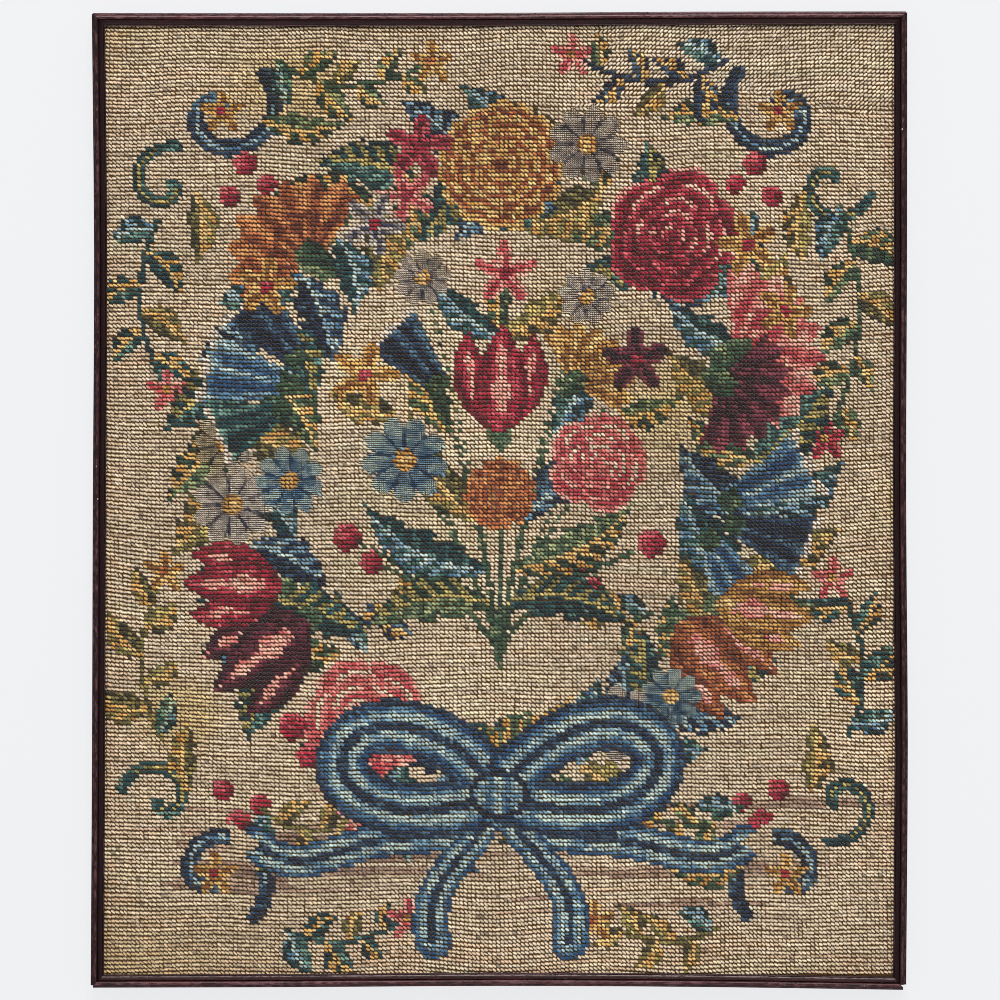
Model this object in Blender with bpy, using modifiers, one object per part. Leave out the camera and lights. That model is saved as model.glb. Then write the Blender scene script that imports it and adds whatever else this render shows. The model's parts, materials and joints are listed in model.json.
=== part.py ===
"""Framed needlepoint canvas panel, lying face up on its flat back.

A sheet of canvas, worked all over in wool, sits in the rebate of a narrow
mahogany frame of four mitred rails. The rails carry one reeded moulding and
are slightly bowed, as old thin mouldings are. Metres, +Z up. +Z is the face
of the panel, +Y the top of the needlework and +X its right side. The origin
is at the middle of the back.
"""

import math

import bmesh
import bpy
import numpy as np
from mathutils import Vector

MM = 0.001
SIDES = ("bottom", "top", "left", "right")

# Overall size of the frame, outside to outside.
FRAME_WIDTH = 508 * MM
FRAME_HEIGHT = 608 * MM

# Moulding section.
RAIL_WIDTH = 8.0 * MM        # from the outer wall to the sight edge
RAIL_DEPTH = 15.0 * MM       # from the back to the crest of the bead
REBATE_WIDTH = 3.0 * MM      # how far the lip reaches over the canvas
REBATE_DEPTH = 10.2 * MM     # from the back to the underside of the lip
SHOULDER_RADIUS = 0.7 * MM   # worn round outer corner
SHOULDER_HEIGHT = 13.6 * MM
BEAD_RADIUS = 1.35 * MM      # the large bead beside the shoulder
BEAD_CENTRE = 2.75 * MM      # its middle, from the outer wall
GROOVE_INSET = 4.15 * MM     # the quirk between bead and cove
GROOVE_HEIGHT = 13.0 * MM
COVE_START = 4.7 * MM
COVE_HEIGHT = 13.5 * MM      # the cove's outer, higher edge
COVE_END = 7.0 * MM
COVE_DROP = 0.35 * MM        # how hollow the cove is
LIP_HEIGHT = 12.0 * MM       # the thin bead at the sight edge
LIP_RADIUS = 0.45 * MM

# The mitres: each rail stops short of the corner's diagonal by MITRE_GAP, and
# its tip is worn blunt over a length of its own.
MITRE_GAP = 0.22 * MM
RAIL_STATIONS = 13
TIP_WEAR = {
    # side: (first end, last end), from left to right or from bottom to top
    "bottom": (1.2 * MM, 1.8 * MM),
    "top": (0.5 * MM, 0.6 * MM),
    "left": (1.4 * MM, 0.5 * MM),
    "right": (3.2 * MM, 0.6 * MM),
}

# How far each side stands outside the true rectangle, at five even places
# from left to right, or from bottom to top.
BOW = {
    "bottom": (0.2 * MM, -0.15 * MM, -0.9 * MM, -0.25 * MM, 1.55 * MM),
    "top": (-0.35 * MM, -0.45 * MM, -0.25 * MM, 0.5 * MM, 0.65 * MM),
    "left": (1.0 * MM, 0.2 * MM, -0.3 * MM, -1.1 * MM, 0.3 * MM),
    "right": (-0.45 * MM, 0.6 * MM, -0.45 * MM, 0.1 * MM, 0.2 * MM),
}

# The worked canvas.
CANVAS_THICKNESS = 2.4 * MM  # linen threads and the wool over them
CANVAS_CLEARANCE = 0.3 * MM  # to the rebate's wall and to the lip
CANVAS_CELLS = (24, 28)
COCKLE_HEIGHT = 0.8 * MM     # how far the middle of the canvas waves
COCKLE_WAVES = (
    # waves across, waves up, phase, share of the height
    (1.0, 0.0, 0.4, 0.45),
    (0.6, 1.3, 1.9, 0.35),
    (2.1, 1.1, 3.6, 0.20),
)

MATERIALS = {
    # name: (base colour, roughness, metallic)
    "mahogany": ((0.070, 0.026, 0.022, 1.0), 0.32, 0.0),
    "wool": ((0.560, 0.465, 0.330, 1.0), 0.92, 0.0),
}


def clear_scene():
    for obj in list(bpy.data.objects):
        bpy.data.objects.remove(obj, do_unlink=True)


def new_collection(name):
    collection = bpy.data.collections.new(name)
    bpy.context.scene.collection.children.link(collection)
    return collection


def new_material(name):
    colour, roughness, metallic = MATERIALS[name]
    material = bpy.data.materials.new(name)
    material.use_nodes = True
    shader = material.node_tree.nodes["Principled BSDF"]
    shader.inputs["Base Color"].default_value = colour
    shader.inputs["Roughness"].default_value = roughness
    shader.inputs["Metallic"].default_value = metallic
    material.diffuse_color = colour
    return material


def add_object(name, mesh, collection, material):
    obj = bpy.data.objects.new(name, mesh)
    mesh.materials.append(material)
    collection.objects.link(obj)
    return obj


def bow(side, along):
    """The side's outward stand at a place from 0 to 1: a smooth curve through
    its five values, each span a cubic whose slopes are the neighbours' mean."""
    values = np.array(BOW[side])
    slopes = np.gradient(values)
    place = np.clip(np.asarray(along, float), 0, 1) * (len(values) - 1)
    span = np.minimum(place.astype(int), len(values) - 2)
    t = place - span
    a, b = values[span], values[span + 1]
    da, db = slopes[span], slopes[span + 1]
    return (
        a * (2 * t**3 - 3 * t**2 + 1)
        + da * (t**3 - 2 * t**2 + t)
        + b * (3 * t**2 - 2 * t**3)
        + db * (t**3 - t**2)
    )


def side_place(side, along):
    """The outer wall's coordinate across the side, at a place along it. The
    true rectangle is shifted so that the bowed frame's box is centred."""
    level = side in ("bottom", "top")
    half = FRAME_HEIGHT / 2 if level else FRAME_WIDTH / 2
    low, high = ("bottom", "top") if level else ("left", "right")
    middle = (max(BOW[low]) - max(BOW[high])) / 2
    sign = 1 if side == high else -1
    return middle + sign * (half + bow(side, along))


def arc(centre, radius, start, stop, steps):
    """Points on an arc, angles in degrees from +inset towards +Z."""
    angles = np.radians(np.linspace(start, stop, steps))
    return [
        (centre[0] + radius * math.cos(a), centre[1] + radius * math.sin(a))
        for a in angles
    ]


def moulding_section():
    """The section as (inset from the outer wall, height) points. It runs up
    the outer wall, over the reeds to the sight edge, and back round the
    rebate."""
    bead_side = BEAD_CENTRE - BEAD_RADIUS
    bead_base = RAIL_DEPTH - BEAD_RADIUS
    section = [(0.0, 0.0)]
    shoulder_base = SHOULDER_HEIGHT - SHOULDER_RADIUS
    section += arc((SHOULDER_RADIUS, shoulder_base), SHOULDER_RADIUS, 180, 90, 4)
    section += [(bead_side, SHOULDER_HEIGHT)]
    section += arc((BEAD_CENTRE, bead_base), BEAD_RADIUS, 165, 0, 8)
    section += [(GROOVE_INSET, GROOVE_HEIGHT)]
    lip_base = LIP_HEIGHT - LIP_RADIUS
    for share in np.linspace(0, 1, 4):
        inset = COVE_START + share * (COVE_END - COVE_START)
        height = COVE_HEIGHT + share * (lip_base - COVE_HEIGHT)
        section.append((inset, height - COVE_DROP * math.sin(math.pi * share)))
    section += arc((RAIL_WIDTH - LIP_RADIUS, lip_base), LIP_RADIUS, 150, 0, 5)
    section += [
        (RAIL_WIDTH, REBATE_DEPTH),
        (RAIL_WIDTH - REBATE_WIDTH, REBATE_DEPTH),
        (RAIL_WIDTH - REBATE_WIDTH, 0.0),
    ]
    return section


def rail_ring(side, section, along):
    """The section's points carried to a place along the side. Across the rail
    a point lies its inset inside the bowed outer wall. Along the rail its
    ends lie on the two mitres, where the inset is also the distance to the
    neighbouring side, or the tip's wear where that is more."""
    level = side in ("bottom", "top")
    first, last = ("left", "right") if level else ("bottom", "top")
    here, outward = (0.0, -1) if side in ("bottom", "left") else (1.0, 1)
    inset = np.array([point[0] for point in section])
    height = np.array([point[1] for point in section])
    start = side_place(first, here) + np.maximum(inset, TIP_WEAR[side][0]) + MITRE_GAP
    stop = side_place(last, here) - np.maximum(inset, TIP_WEAR[side][1]) - MITRE_GAP
    run = start + along * (stop - start)
    across = side_place(side, along) - outward * inset
    across = np.broadcast_to(across, run.shape)
    x, y = (run, across) if level else (across, run)
    return [Vector(point) for point in zip(x, y, height)]


def build_rail(name, side, collection, material):
    """A rail: the moulding's section, drawn out through its stations."""
    section = moulding_section()
    places = np.linspace(0, 1, RAIL_STATIONS)
    bm = bmesh.new()
    end_face = bm.faces.new([bm.verts.new(p) for p in rail_ring(side, section, places[0])])
    inner_faces = []
    for along in places[1:]:
        grown = bmesh.ops.extrude_face_region(bm, geom=[end_face])["geom"]
        inner_faces.append(end_face)
        end_face = next(g for g in grown if isinstance(g, bmesh.types.BMFace))
        for vert, point in zip(end_face.verts, rail_ring(side, section, along)):
            vert.co = point
    bmesh.ops.delete(bm, geom=inner_faces[1:], context="FACES_ONLY")
    caps = [face for face in bm.faces if len(face.verts) > 4]
    bmesh.ops.triangulate(bm, faces=caps, ngon_method="EAR_CLIP")
    bmesh.ops.recalc_face_normals(bm, faces=bm.faces)
    mesh = bpy.data.meshes.new(name)
    bm.to_mesh(mesh)
    bm.free()
    mesh.shade_smooth()
    mesh.set_sharp_from_angle(angle=math.radians(40))
    return add_object(name, mesh, collection, material)


def cockle(u, v):
    """Height of the canvas's soft waves at (u, v) from 0 to 1: a sum of three
    sine waves, faded to nothing at the rebate by a product of sines."""
    waves = sum(
        share * math.sin(math.tau * (across * u + up * v) + phase)
        for across, up, phase, share in COCKLE_WAVES
    )
    fade = (math.sin(math.pi * u) * math.sin(math.pi * v)) ** 0.5
    return COCKLE_HEIGHT * waves * fade


def build_canvas(collection, material):
    """The worked canvas: a grid whose edges follow the rebate, waved a little
    and thickened downwards."""
    name = "canvas"
    edge = RAIL_WIDTH - REBATE_WIDTH + CANVAS_CLEARANCE
    face = REBATE_DEPTH - CANVAS_CLEARANCE
    bm = bmesh.new()
    bmesh.ops.create_grid(bm, x_segments=CANVAS_CELLS[0], y_segments=CANVAS_CELLS[1], size=0.5)
    for vert in bm.verts:
        u, v = vert.co.x + 0.5, vert.co.y + 0.5
        left, right = side_place("left", v) + edge, side_place("right", v) - edge
        bottom, top = side_place("bottom", u) + edge, side_place("top", u) - edge
        lift = cockle(min(max(u, 0), 1), min(max(v, 0), 1))
        vert.co = (left + u * (right - left), bottom + v * (top - bottom), face + lift)
    mesh = bpy.data.meshes.new(name)
    bm.to_mesh(mesh)
    bm.free()
    mesh.shade_smooth()
    obj = add_object(name, mesh, collection, material)
    solid = obj.modifiers.new("thickness", "SOLIDIFY")
    solid.thickness = CANVAS_THICKNESS
    solid.offset = -1
    return obj


def build_panel():
    clear_scene()
    collection = new_collection("framed_needlepoint_panel")
    mahogany = new_material("mahogany")
    wool = new_material("wool")
    for side, name in zip(SIDES, ("bottom_rail", "top_rail", "left_stile", "right_stile")):
        build_rail(name, side, collection, mahogany)
    build_canvas(collection, wool)


build_panel()
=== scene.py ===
"""Looks of a framed needlepoint canvas panel, lying face up.

The panel is worked all over in wool, stitch by stitch: every tent stitch is a
small closed grain of yarn that slants over one crossing of the linen, and the
fine parts are worked in petit point, four stitches to a crossing. A narrow
reeded mahogany frame holds it. Metres, +Z up: +Z is the face of the panel, +Y
the top of the needlework. The file is laid out as a Blender add-on and is run
as a script.
"""

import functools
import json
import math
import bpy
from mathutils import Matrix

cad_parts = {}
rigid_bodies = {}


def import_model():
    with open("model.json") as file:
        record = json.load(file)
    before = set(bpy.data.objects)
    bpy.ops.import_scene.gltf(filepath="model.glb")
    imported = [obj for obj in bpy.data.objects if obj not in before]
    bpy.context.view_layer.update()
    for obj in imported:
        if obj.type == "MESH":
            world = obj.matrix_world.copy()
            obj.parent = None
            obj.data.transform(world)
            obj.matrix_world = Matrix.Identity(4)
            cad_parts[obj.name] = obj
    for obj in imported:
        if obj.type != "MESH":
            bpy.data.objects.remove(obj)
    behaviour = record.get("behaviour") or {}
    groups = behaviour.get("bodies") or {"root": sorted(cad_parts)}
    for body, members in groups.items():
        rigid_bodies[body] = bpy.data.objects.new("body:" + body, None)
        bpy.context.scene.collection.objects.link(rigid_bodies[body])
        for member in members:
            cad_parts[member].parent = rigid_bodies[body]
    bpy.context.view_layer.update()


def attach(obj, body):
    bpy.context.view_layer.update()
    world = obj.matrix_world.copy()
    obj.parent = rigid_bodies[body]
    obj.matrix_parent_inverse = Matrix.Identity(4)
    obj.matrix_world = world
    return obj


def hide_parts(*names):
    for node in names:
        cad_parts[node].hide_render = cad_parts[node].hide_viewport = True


bl_info = {
    "name": "Framed Needlepoint Panel",
    "version": (1, 0, 0),
    "blender": (4, 5, 0),
    "location": "3D View > Sidebar > Needlepoint",
    "description": "Works a linen canvas in wool tent stitch and finishes its mahogany frame",
    "category": "Object",
}

import bpy
import numpy as np
from bpy.props import FloatProperty, FloatVectorProperty, PointerProperty

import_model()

MM = 0.001
RAILS = ("bottom_rail", "top_rail", "left_stile", "right_stile")

# The frame and the rebate, as in the solids.
FRAME_WIDTH = 508 * MM
FRAME_HEIGHT = 608 * MM
RAIL_WIDTH = 8.0 * MM        # from the outer wall to the sight edge
CANVAS_INSET = 5.3 * MM      # from the outer wall to the canvas's edge
CANVAS_FACE = 9.9 * MM       # height of the wool's face at the rebate
BEAD_CREST = 15.0 * MM
SHOULDER_HEIGHT = 13.6 * MM
GROOVE_HEIGHT = 13.0 * MM
LIP_HEIGHT = 12.0 * MM

# How far each side of the frame stands outside the true rectangle, at five
# even places from left to right, or from bottom to top.
BOW = {
    "bottom": (0.2 * MM, -0.15 * MM, -0.9 * MM, -0.25 * MM, 1.55 * MM),
    "top": (-0.35 * MM, -0.45 * MM, -0.25 * MM, 0.5 * MM, 0.65 * MM),
    "left": (1.0 * MM, 0.2 * MM, -0.3 * MM, -1.1 * MM, 0.3 * MM),
    "right": (-0.45 * MM, 0.6 * MM, -0.45 * MM, 0.1 * MM, 0.2 * MM),
}

# The cockle of the canvas: waves across, waves up, phase, share of the height.
COCKLE_HEIGHT = 0.8 * MM
COCKLE_WAVES = ((1.0, 0.0, 0.4, 0.45), (0.6, 1.3, 1.9, 0.35), (2.1, 1.1, 3.6, 0.20))

# The drift of the thread lines in the plane of the canvas, where the work has
# pulled it: waves across, waves up, phase, size in millimetres.
DRIFT_ACROSS = ((0.7, 0.9, 0.3, 0.8), (2.2, 1.6, 2.1, 0.4), (0.5, 4.6, 4.4, 0.3))
DRIFT_UP = (
    (1.2, 1.35, 0.6, 0.8), (2.9, -1.8, 2.0, 0.6),
    (5.1, 2.6, 0.9, 0.4), (7.3, -3.2, 3.1, 0.26),
)

# The rows sag between the sides: height of the middle of a sag up the canvas
# from 0 to 1, how far it spreads, and its depth at the left and right side.
SAGS = (
    (0.38, 0.24, 5.2 * MM, 0.0), (0.54, 0.22, 0.0, 4.4 * MM),
    (0.95, 0.08, -0.6 * MM, 2.0 * MM), (0.04, 0.06, -2.0 * MM, 1.2 * MM),
)
SAG_REACH = 0.08             # how soon a sag levels out, across the canvas

# The lowest rows are drawn into scallops by the lacing: scallops across, their
# start, their depth, and how soon they level out, up the canvas.
SCALLOPS = (4.08, 0.07, 1.1 * MM, 0.10)

# The petit point: stitches to one crossing, each way.
PETIT = 2
PIECE_STITCHES = 10500       # most tent stitches in one piece of the model
DYE_STEPS = 6                # tones of one colour that the wools come in
STITCH_INSET = 6.3 * MM      # from the outer wall to the outermost stitches
UNDER_LIP = 3.2 * MM         # how far from the canvas's edge the lip covers it
PAINTED_SHADE_TINT = (0.31, 0.17, 0.05)    # what the painted shade leaves of the wool's red, green and blue: a deep brown in the gaps
LINEN_CELLS = (120, 144)     # of the linen's mesh, across and up

# The mitres' glue, in millimetres: its section as inset and height, and how far
# each tip is worn blunt.
GLUE_SECTION = (
    (0.0, 0.5), (0.0, 13.1), (1.4, 13.2), (1.9, 14.3), (2.75, 14.7), (3.6, 14.3), (4.1, 12.7),
    (4.7, 13.1), (5.6, 12.2), (7.0, 11.4), (7.9, 11.5), (7.9, 10.5), (4.9, 10.5), (4.9, 0.5),
)
GLUE_WORN = {
    ("left", "bottom"): 1.4, ("right", "bottom"): 3.2,
    ("left", "top"): 0.5, ("right", "top"): 0.6,
}
GLUE_HALF = 0.12 * MM        # half the plate's thickness


def dyed(red, green, blue):
    """A colour from 0-255 display numbers, as linear numbers."""
    shown = np.array((red, green, blue)) / 255
    linear = np.where(shown <= 0.04045, shown / 12.92, ((shown + 0.055) / 1.055) ** 2.4)
    return tuple(float(part) for part in linear)


# Each yarn's deep, middle and pale tone, in 0-255 display numbers.
YARNS = {
    "cream": ((182, 157, 122), (218, 200, 169), (226, 211, 187)),
    "sand": ((160, 130, 98), (206, 178, 143), (224, 204, 174)),
    "sage": ((172, 154, 118), (214, 200, 164), (227, 215, 186)),
    "taupe": ((124, 96, 80), (170, 140, 118), (206, 180, 154)),
    "navy": ((10, 20, 42), (26, 49, 82), (88, 128, 154)),
    "sky": ((30, 70, 114), (88, 136, 168), (190, 212, 206)),
    "teal": ((8, 38, 44), (24, 76, 80), (120, 164, 150)),
    "green": ((18, 44, 32), (62, 96, 66), (166, 180, 128)),
    "olive": ((58, 54, 26), (134, 126, 66), (214, 196, 116)),
    "crimson": ((102, 6, 24), (178, 26, 54), (224, 108, 116)),
    "coral": ((186, 56, 68), (226, 122, 116), (246, 196, 176)),
    "maroon": ((40, 8, 22), (86, 20, 40), (156, 64, 84)),
    "gold": ((142, 88, 32), (208, 157, 74), (238, 208, 138)),
    "rust": ((112, 46, 22), (182, 98, 50), (230, 166, 98)),
    "lilac": ((56, 62, 90), (172, 164, 158), (236, 226, 210)),
}
YARN_NAMES = tuple(YARNS)
TONES = ("deep", "middle", "pale")

# Which yarns lie together in one piece of the model.
PIECES = {
    "ground_stitches": ("cream", "sand", "sage", "taupe"),
    "blue_stitches": ("navy", "sky"),
    "leaf_stitches": ("teal", "green", "olive"),
    "red_stitches": ("crimson", "coral", "maroon"),
    "gold_stitches": ("gold", "rust", "lilac"),
}


def size_value(name, description, default):
    """A length that the sidebar shows."""
    return FloatProperty(name=name, description=description, default=default, unit="LENGTH")


def colour_value(name, description, default):
    """A colour that the sidebar shows."""
    return FloatVectorProperty(
        name=name, description=description, default=default,
        subtype="COLOR", size=3, min=0, max=1,
    )


class StitchSizes(bpy.types.PropertyGroup):
    """Sizes of the stitches and the linen."""

    pitch_across: size_value("Pitch across", "From one stitch to the next in a row", 2.56 * MM)
    pitch_up: size_value("Pitch up", "From one row of stitches to the next", 2.536 * MM)
    length: size_value("Stitch length", "From hole to hole along the slant", 3.5 * MM)
    width: size_value("Yarn width", "Across one strand of the wool", 2.0 * MM)
    slant: FloatProperty(
        name="Slant", description="Fall of a stitch below the row, from left to right",
        default=math.radians(36), subtype="ANGLE",
    )
    depth: size_value("Stitch depth", "From the top of a stitch down to the linen", 1.35 * MM)
    linen: size_value("Linen thickness", "Canvas with the wool carried behind it", 0.9 * MM)
    unevenness: FloatProperty(
        name="Unevenness", description="How much the stitches differ from each other",
        default=1.0, subtype="FACTOR", min=0, max=3,
    )


class YarnColours(bpy.types.PropertyGroup):
    """The three tones of each yarn."""

    __annotations__ = {
        f"{yarn}_{tone}": colour_value(
            f"{yarn} {tone}".capitalize(), f"The {tone} tone of the {yarn} wool", dyed(*colour),
        )
        for yarn, colours in YARNS.items()
        for tone, colour in zip(TONES, colours)
    }


class FrameFinish(bpy.types.PropertyGroup):
    """Colours of the frame and of the linen."""

    # The dark wood also gives the painted shade low on the moulding.
    wood_dark: colour_value("Dark wood", "Old polish in the hollows", dyed(18, 8, 10))
    wood_warm: colour_value("Warm wood", "Where the polish is thin", dyed(58, 22, 26))
    # The worn wood is also the colour of the painted highlight on crests and edges.
    wood_rubbed_and_lit: colour_value("Worn wood", "Rubbed crests and edges", dyed(118, 82, 86))
    linen_brown: colour_value("Linen", "Soiled threads between the stitches", dyed(80, 60, 36))


class StudioSizes(bpy.types.PropertyGroup):
    """The camera above the panel and its lights."""

    camera_height: size_value("Camera height", "From the panel's back up to the camera", 2.2)
    view_width: size_value("View width", "What the picture spans at the frame's crests", 0.623)
    key_power: FloatProperty(
        name="Key light", description="Power of the softbox beyond the top rail",
        default=150.0, unit="POWER",
    )
    daylight: FloatProperty(
        name="Daylight", description="Strength of the pale surroundings",
        default=0.93, min=0,
    )


def cloudy(rows, columns, patch_rows, patch_columns, seed):
    """Soft noise of mean 0 and spread about 1: random numbers on a coarse grid,
    carried to the fine one by smooth steps across and then up."""
    draw = np.random.default_rng(seed)
    coarse = draw.normal(size=(int(rows / patch_rows) + 3, int(columns / patch_columns) + 3))
    up = np.arange(rows) / patch_rows + draw.random()
    over = np.arange(columns) / patch_columns + draw.random()
    low, left = up.astype(int), over.astype(int)
    rise, run = ((share * share * (3 - 2 * share)) for share in (up - low, over - left))
    rows_between = coarse[:, left] * (1 - run) + coarse[:, left + 1] * run
    rise = rise[:, None]
    return 1.4 * (rows_between[low] * (1 - rise) + rows_between[low + 1] * rise)


def bow(side, along):
    """The side's outward stand at a place from 0 to 1: a cubic through its five
    values, with the neighbours' mean slopes."""
    values = np.array(BOW[side])
    slopes = np.gradient(values)
    place = np.clip(np.asarray(along, float), 0, 1) * (len(values) - 1)
    span = np.minimum(place.astype(int), len(values) - 2)
    t = place - span
    a, b = values[span], values[span + 1]
    da, db = slopes[span], slopes[span + 1]
    return (
        a * (2 * t**3 - 3 * t**2 + 1)
        + da * (t**3 - 2 * t**2 + t)
        + b * (3 * t**2 - 2 * t**3)
        + db * (t**3 - t**2)
    )


def side_place(side, along):
    """The outer wall's coordinate across the side, at a place along it."""
    level = side in ("bottom", "top")
    half = FRAME_HEIGHT / 2 if level else FRAME_WIDTH / 2
    low, high = ("bottom", "top") if level else ("left", "right")
    middle = (max(BOW[low]) - max(BOW[high])) / 2
    sign = 1 if side == high else -1
    return middle + sign * (half + bow(side, along))


def cockle(u, v):
    """Height of the canvas's soft waves at (u, v) from 0 to 1: three sine waves,
    faded to nothing at the rebate by a product of sines."""
    waves = sum(
        share * np.sin(math.tau * (across * u + up * v) + phase)
        for across, up, phase, share in COCKLE_WAVES
    )
    fade = np.sin(np.pi * np.clip(u, 0, 1)) * np.sin(np.pi * np.clip(v, 0, 1))
    return COCKLE_HEIGHT * waves * np.maximum(fade, 0) ** 0.5


def canvas_point(u, v):
    """The canvas's place at (u, v) from 0 to 1: straight lines between its four
    bowed edges."""
    left = side_place("left", v) + CANVAS_INSET
    right = side_place("right", v) - CANVAS_INSET
    bottom = side_place("bottom", u) + CANVAS_INSET
    top = side_place("top", u) - CANVAS_INSET
    return left + u * (right - left), bottom + v * (top - bottom)


def drift(waves, u, v):
    """The thread lines' drift in metres: a sum of long sine waves."""
    return MM * sum(
        size * np.sin(math.tau * (across * u + up * v) + phase)
        for across, up, phase, size in waves
    )


class Chart:
    """The design on a grid of half stitches: each one's yarn, tone from 0, deep,
    to 1, pale, and whether it is worked in petit point. Places are in
    stitches from the lower left."""

    def __init__(self, columns, rows):
        self.columns = columns
        self.rows = rows
        across = (np.arange(PETIT * columns) + 0.5) / PETIT
        up = (np.arange(PETIT * rows) + 0.5) / PETIT
        self.across, self.up = np.meshgrid(across, up)
        self.yarn = np.zeros(self.across.shape, np.int8)
        self.tone = np.full(self.across.shape, 0.5)
        self.fine = np.zeros(self.across.shape, bool)

    def near(self, place, reach, turn=0.0):
        """The window within reach of a place, and each half stitch's place in it
        along and beside a line turned by so many degrees."""
        x, y = place
        low = [max(int(PETIT * (middle - reach)), 0) for middle in (y, x)]
        high = [max(int(PETIT * (middle + reach)) + 1, 1) for middle in (y, x)]
        window = (slice(low[0], high[0]), slice(low[1], high[1]))
        dx, dy = self.across[window] - x, self.up[window] - y
        c, s = math.cos(math.radians(turn)), math.sin(math.radians(turn))
        return window, dx * c + dy * s, dy * c - dx * s

    def open_face(self, place, size, turn):
        """The window of a flower seen from the front, and each half stitch's
        distance from its middle, from 0 to 1, and angle."""
        window, p, q = self.near(place, size * 1.05, turn)
        return window, np.hypot(p, q) / size, np.arctan2(q, p)

    def profile(self, place, size, turn):
        """The window of a flower seen from the side, and each half stitch's place
        along it from its base, from 0 to 1, and beside its middle line."""
        window, p, q = self.near(place, size * 1.1, turn)
        return window, p / size, q / size

    def lay(self, window, where, yarn, tone, fine=False):
        """Works the marked half stitches of a window in a yarn."""
        self.yarn[window][where] = YARN_NAMES.index(yarn)
        self.tone[window][where] = np.broadcast_to(tone, where.shape)[where]
        self.fine[window][where] = fine


def curve(*points, steps=48):
    """Points along the Bezier curve of any number of guide points."""
    t = np.linspace(0, 1, steps)[:, None]
    level = [np.array(point, float) for point in points]
    while len(level) > 1:
        level = [a * (1 - t) + b * t for a, b in zip(level, level[1:])]
    return level[0]


def spiral(place, radius, start, turns):
    """Points along a scroll: its radius shrinks evenly as it turns inwards."""
    t = np.linspace(0, 1, 70)
    angle = math.radians(start) + turns * math.tau * t
    size = radius * (1 - 0.86 * t)
    return np.stack([place[0] + size * np.cos(angle), place[1] + size * np.sin(angle)], 1)


def trail(chart, path, half, yarn, tone):
    """A band along a path. Each half stitch takes the nearest point's half
    width. The tone is a number, or a function of the place across the band,
    from -1 to 1, and along it, from 0 to 1."""
    half = np.broadcast_to(np.asarray(half, float), len(path))
    middle = (path.min(0) + path.max(0)) / 2
    window, dx, dy = chart.near(middle, np.ptp(path, axis=0).max() / 2 + half.max() + 1)
    offs = np.stack([dx, dy], -1)[..., None, :] - (path - middle)
    gaps = np.hypot(offs[..., 0], offs[..., 1])
    nearest = gaps.argmin(-1)
    gap = gaps.min(-1)
    if callable(tone):
        heading = np.gradient(path, axis=0)[nearest]
        off = np.stack([dx, dy], -1) - (path[nearest] - middle)
        side = np.sign(heading[..., 0] * off[..., 1] - heading[..., 1] * off[..., 0])
        across = side * gap / np.maximum(half[nearest], 1e-6)
        tone = tone(across, nearest / (len(path) - 1))
    chart.lay(window, gap < half[nearest], yarn, tone)


def leaf(chart, base, turn, length, width, yarn, bend, lobes, rib):
    """A leaf that grows from its base. Its middle line is a parabola with the
    bend, its half width a sine of the place along it, cut by forward lobes. One
    half is paler than the other, and striped with the rib's yarn between veins
    that run forward."""
    window, p, q = chart.near(base, length * (1.05 + abs(bend)), turn)
    s = p / length
    q = q - bend * length * 4 * s * (1 - s)
    half = width / 2 * np.sin(np.pi * np.clip(s, 0, 1) ** 0.8)
    if lobes:
        half = half * (1 - 0.34 * ((s * lobes + 0.2) % 1) ** 1.8)
    inside = (np.abs(q) < half) & (s > 0) & (s < 1)
    edge = np.abs(q) / np.maximum(half, 0.1)
    veins = np.abs(((p - 0.8 * np.abs(q)) / 4.2) % 1 - 0.5) * 2
    tone = 0.34 + 0.2 * np.sign(q)
    tone = tone + 0.36 * (veins > 0.62) * (edge < 0.85) - 0.22 * (edge > 0.8)
    chart.lay(window, inside, yarn, tone)
    striped = (q * (1 if bend >= 0 else -1) > 0) & (veins > 0.5) & (edge < 0.88)
    chart.lay(window, inside & striped, rib, 0.45 + 0.4 * veins - 0.3 * edge)
    chart.lay(window, inside & (np.abs(q) < 0.55) & (s < 0.86), rib, 0.8)


def rose(chart, place, size, yarn, turn):
    """A full rose, laid ring after ring from the outside in. A ring's rim is a
    circle waved by its petal count, with a notch between petals. A petal is
    pale at the rim and deep where the next ring covers it."""
    window, rho, theta = chart.open_face(place, size, turn)
    rings = ((1.0, 5, 0.0), (0.77, 5, 0.7), (0.55, 4, 0.3), (0.36, 3, 1.0), (0.18, 2, 0.4))
    for rim, petals, shift in rings:
        lobe = np.abs(np.cos(petals / 2 * theta + shift))
        edge = rim * (0.78 + 0.22 * lobe**0.55)
        depth = np.clip((edge - rho) / 0.22, 0, 1)
        lit = 0.14 * np.cos(theta - 1.2)
        tone = 1.0 - 0.95 * depth**0.7 + lit - 0.4 * (lobe < 0.26)
        chart.lay(window, rho < edge, yarn, tone)
        rim_light = (rho < edge) & (depth < 0.3) & (lobe > 0.62) & (lit > -0.04)
        chart.lay(window, rim_light, "coral" if yarn == "crimson" else "cream", 0.9)


def marigold(chart, place, size, yarn, turn):
    """A marigold: five rings of many short petals, each in its yarn at the rim
    and shading into rust."""
    window, rho, theta = chart.open_face(place, size, turn)
    for step, (rim, petals) in enumerate(((1.0, 15), (0.8, 13), (0.61, 11), (0.43, 8), (0.26, 5))):
        lobe = np.abs(np.cos(petals / 2 * theta + 0.9 * step))
        edge = rim * (0.86 + 0.14 * lobe**0.5)
        depth = np.clip((edge - rho) / 0.2, 0, 1)
        inside = rho < edge
        chart.lay(window, inside, yarn, 0.85 - 0.45 * depth)
        chart.lay(window, inside & ((depth > 0.62) | (lobe < 0.25)), "rust", 0.75 - 0.5 * depth)
    chart.lay(window, rho < 0.1, "rust", 0.1)


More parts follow.
